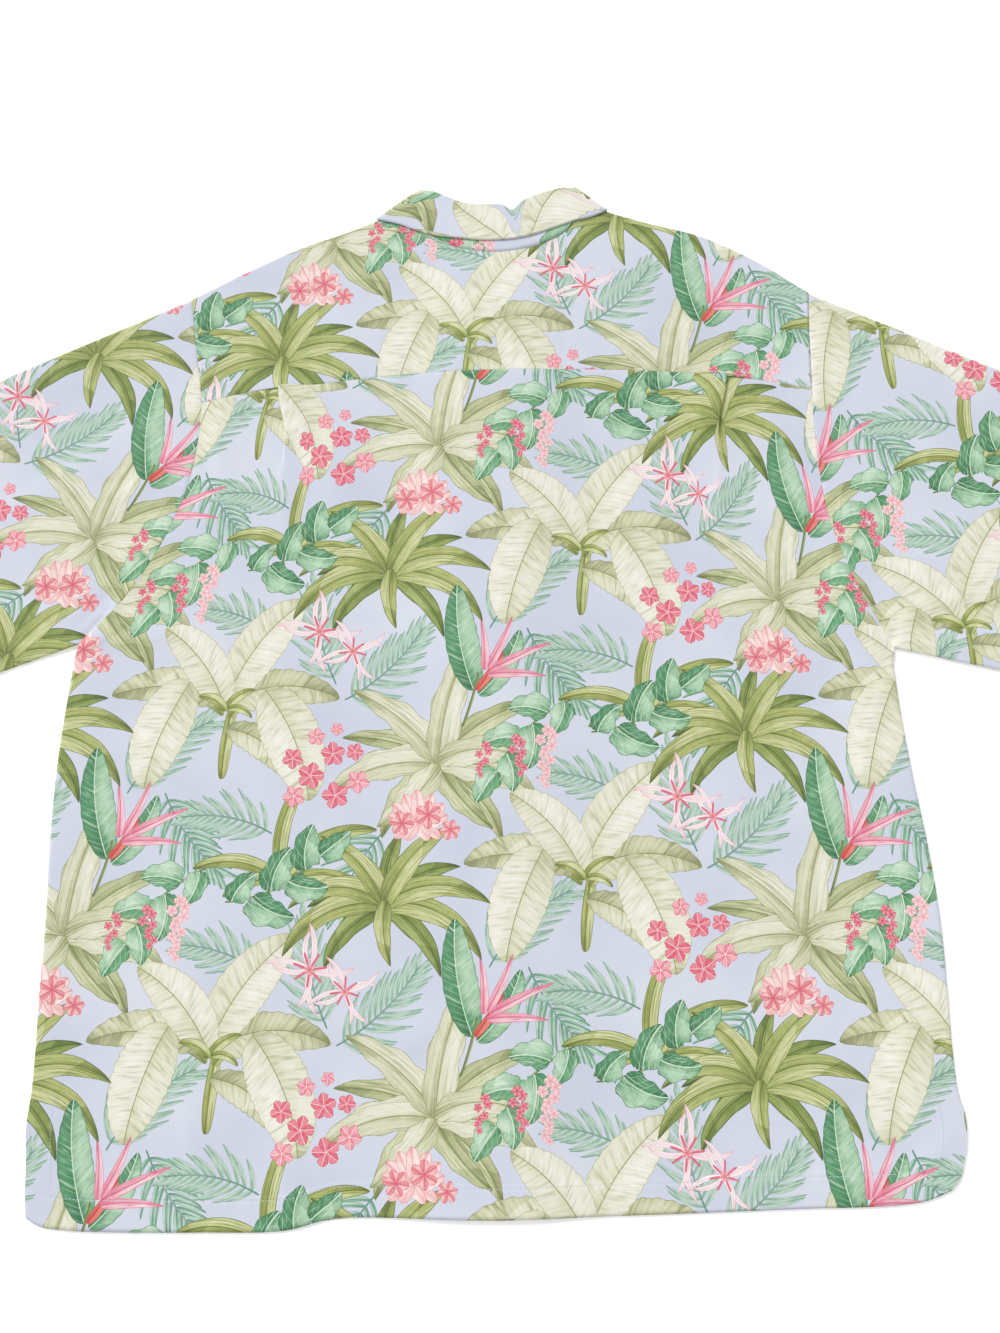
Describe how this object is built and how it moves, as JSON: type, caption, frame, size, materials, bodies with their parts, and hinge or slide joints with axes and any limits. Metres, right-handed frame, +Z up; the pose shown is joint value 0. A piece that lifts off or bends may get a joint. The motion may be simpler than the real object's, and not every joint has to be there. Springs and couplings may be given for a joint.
{
  "type": "hawaiian shirt",
  "caption": "Short-sleeved buttoned shirt in printed cloth, laid flat on its front with its back upwards: pleated back, yoke, folded collar and open side vents.",
  "frame": {"origin": "middle of the footprint of the laid-out shirt, on the surface it lies on", "axes": "+Z up, out of the back of the shirt; +Y towards the collar; +X towards the wearer's right sleeve"},
  "size_m": [1.0904, 0.9378, 0.0067],
  "materials": {
    "cloth": "smooth soft matte, printed",
    "button": "polished"
  },
  "bodies": {
    "root": {"back": "cloth", "yoke": "cloth", "front_left": "cloth", "front_right": "cloth", "sleeve_left": "cloth", "sleeve_right": "cloth", "collar": "cloth", "button_1": "button", "button_2": "button", "button_3": "button", "button_4": "button", "button_5": "button", "button_6": "button", "button_7": "button"}
  },
  "joints": []
}
